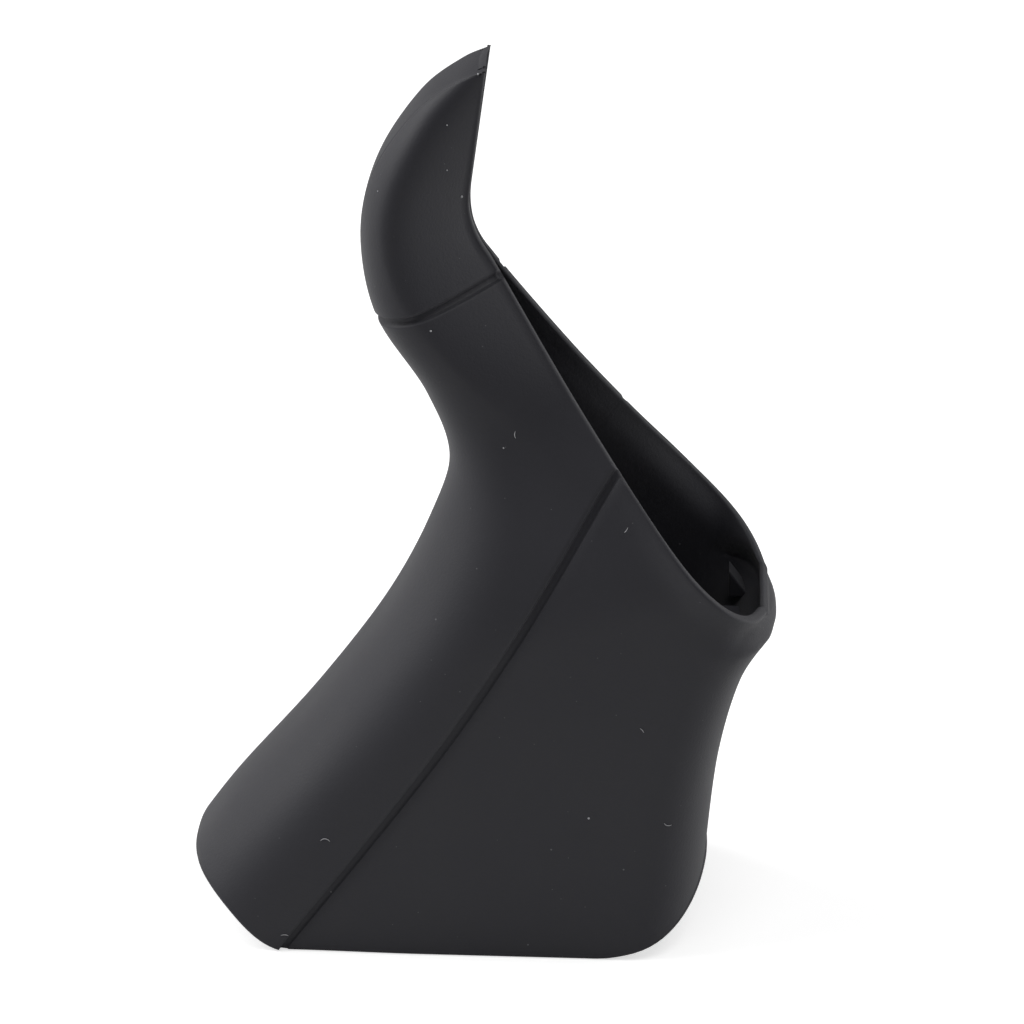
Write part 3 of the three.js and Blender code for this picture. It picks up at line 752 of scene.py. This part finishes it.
def tube(path, radius, sides=6):
    """Quads of a tube round a path: a ring of sides about each point, square to its direction,
    that narrows to a closed end."""
    along = np.gradient(path, axis=0)
    along = along / np.linalg.norm(along, axis=1, keepdims=True)
    side = np.cross(along, [0.0, 1.0, 0.0])
    side = side / np.linalg.norm(side, axis=1, keepdims=True)
    top = np.cross(side, along)
    turn = np.linspace(0, 2 * np.pi, sides + 1)
    size = radius * np.sin(np.linspace(0, np.pi, len(path))) ** 0.4
    ring = np.cos(turn)[None, :, None] * side[:, None] + np.sin(turn)[None, :, None] * top[:, None]
    grid = path[:, None] + ring * size[:, None, None]
    a, b, c, d = grid[:-1, :-1], grid[:-1, 1:], grid[1:, 1:], grid[1:, :-1]
    return np.stack([corner.reshape(-1, 3) for corner in (a, b, c, d)], axis=1)


def on_skin(flat):
    """Side-view points put just off the near side of the skin."""
    return np.stack([flat[:, 0], -half_width(flat) - lint_lift, flat[:, 1]], axis=1)


lint_quads = []
for (x, z), radius, start, end in fibres:
    turn = np.radians(np.linspace(start, end, 15))
    arc = np.stack([x + radius * np.cos(turn), z + radius * np.sin(turn)], axis=1)
    lint_quads.append(tube(on_skin(arc), fibre_radius))
for (x, z), radius in crumbs:
    middle = on_skin(np.array([[x, z]]))[0]
    path = middle + np.linspace(-radius, radius, 9)[:, None] * np.array([1.0, 0, 0])
    lint_quads.append(tube(path, radius))
lint = welded_mesh("lint", np.concatenate(lint_quads), weld=1e-4)
lint_material = bpy.data.materials.new("pale_lint")
lint_material.use_nodes = True
lint_shader = lint_material.node_tree.nodes["Principled BSDF"]
lint_shader.inputs["Base Color"].default_value = (0.5, 0.5, 0.52, 1)
lint_shader.inputs["Roughness"].default_value = 0.9
lint.data.materials.append(lint_material)
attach(lint, "root")

# The table the hood stands on: plain and pale, white to the camera, and still takes the shadow.

floor_mesh = bpy.data.meshes.new("table_top")
reach = 0.9
floor_corners = [(-reach, -reach, 0), (reach, -reach, 0), (reach, reach, 0), (-reach, reach, 0)]
floor_mesh.from_pydata(floor_corners, [], [(0, 1, 2, 3)])
floor = bpy.data.objects.new("table_top", floor_mesh)
bpy.context.scene.collection.objects.link(floor)
paper = bpy.data.materials.new("pale_paper")
paper.use_nodes = True
paper_nodes, paper_links = paper.node_tree.nodes, paper.node_tree.links
paper_nodes.clear()
paper_out = paper_nodes.new("ShaderNodeOutputMaterial")
lit = paper_nodes.new("ShaderNodeBsdfDiffuse")
lit.inputs["Color"].default_value = (0.8, 0.8, 0.8, 1)
seen = paper_nodes.new("ShaderNodeEmission")
seen.inputs["Color"].default_value = (1, 1, 1, 1)
ray = paper_nodes.new("ShaderNodeLightPath")
lift = paper_nodes.new("ShaderNodeMath")
lift.operation = "MULTIPLY"
lift.inputs[1].default_value = 0.62
both = paper_nodes.new("ShaderNodeAddShader")
paper_links.new(ray.outputs["Is Camera Ray"], lift.inputs[0])
paper_links.new(lift.outputs["Value"], seen.inputs["Strength"])
paper_links.new(lit.outputs["BSDF"], both.inputs[0])
paper_links.new(seen.outputs["Emission"], both.inputs[1])
paper_links.new(both.outputs["Shader"], paper_out.inputs["Surface"])
floor_mesh.materials.append(paper)

# Soft studio light: a wide panel above on the left, weaker ones overhead and low on the right for
# the edges, and a pale room all round.

world = bpy.data.worlds.new("pale_room")
bpy.context.scene.world = world
world.use_nodes = True
world_nodes, world_links = world.node_tree.nodes, world.node_tree.links
world_nodes.clear()
world_out = world_nodes.new("ShaderNodeOutputWorld")
room = world_nodes.new("ShaderNodeBackground")
room.inputs["Color"].default_value = (1, 1, 1, 1)
white = world_nodes.new("ShaderNodeBackground")
white.inputs["Color"].default_value = (1, 1, 1, 1)
room.inputs["Strength"].default_value = 0.13
white.inputs["Strength"].default_value = 1.0
room_ray = world_nodes.new("ShaderNodeLightPath")
choose = world_nodes.new("ShaderNodeMixShader")
world_links.new(room_ray.outputs["Is Camera Ray"], choose.inputs["Fac"])
world_links.new(room.outputs["Background"], choose.inputs[1])
world_links.new(white.outputs["Background"], choose.inputs[2])
world_links.new(choose.outputs["Shader"], world_out.inputs["Surface"])


def panel_light(name, place, aim, size, power):
    """A square soft light at a place, turned to its aim, in metres and watts."""
    data = bpy.data.lights.new(name, "AREA")
    data.size = size
    data.energy = power
    lamp = bpy.data.objects.new(name, data)
    bpy.context.scene.collection.objects.link(lamp)
    lamp.location = place
    lamp.rotation_euler = (Vector(aim) - Vector(place)).to_track_quat("-Z", "Y").to_euler()
    return lamp


panel_light("side_panel", (-0.68, 0.1, 0.6), (0, 0, 0.06), 0.7, 6.2)
panel_light("top_panel", (0.28, -0.15, 0.9), (0, 0, 0.06), 0.6, 2.8)
panel_light("edge_panel", (0.75, 0.3, 0.32), (0, 0, 0.06), 0.6, 1.9)

# Camera at the photograph's place: a long lens, a little right of square on, looking down.

camera_data = bpy.data.cameras.new("photo_camera")
camera_data.sensor_width = 36
camera_data.lens = 128.25
camera_data.clip_end = 10
camera = bpy.data.objects.new("photo_camera", camera_data)
bpy.context.scene.collection.objects.link(camera)
aim = Vector((0.0041, 0, 0.0568))
distance, azimuth, elevation = 0.48, np.radians(3), np.radians(23.5)
camera.location = aim + distance * Vector((
    np.sin(azimuth) * np.cos(elevation),
    -np.cos(azimuth) * np.cos(elevation),
    np.sin(elevation),
))
camera.rotation_euler = (aim - camera.location).to_track_quat("-Z", "Y").to_euler()
bpy.context.scene.camera = camera
bpy.context.scene.view_settings.view_transform = "Standard"
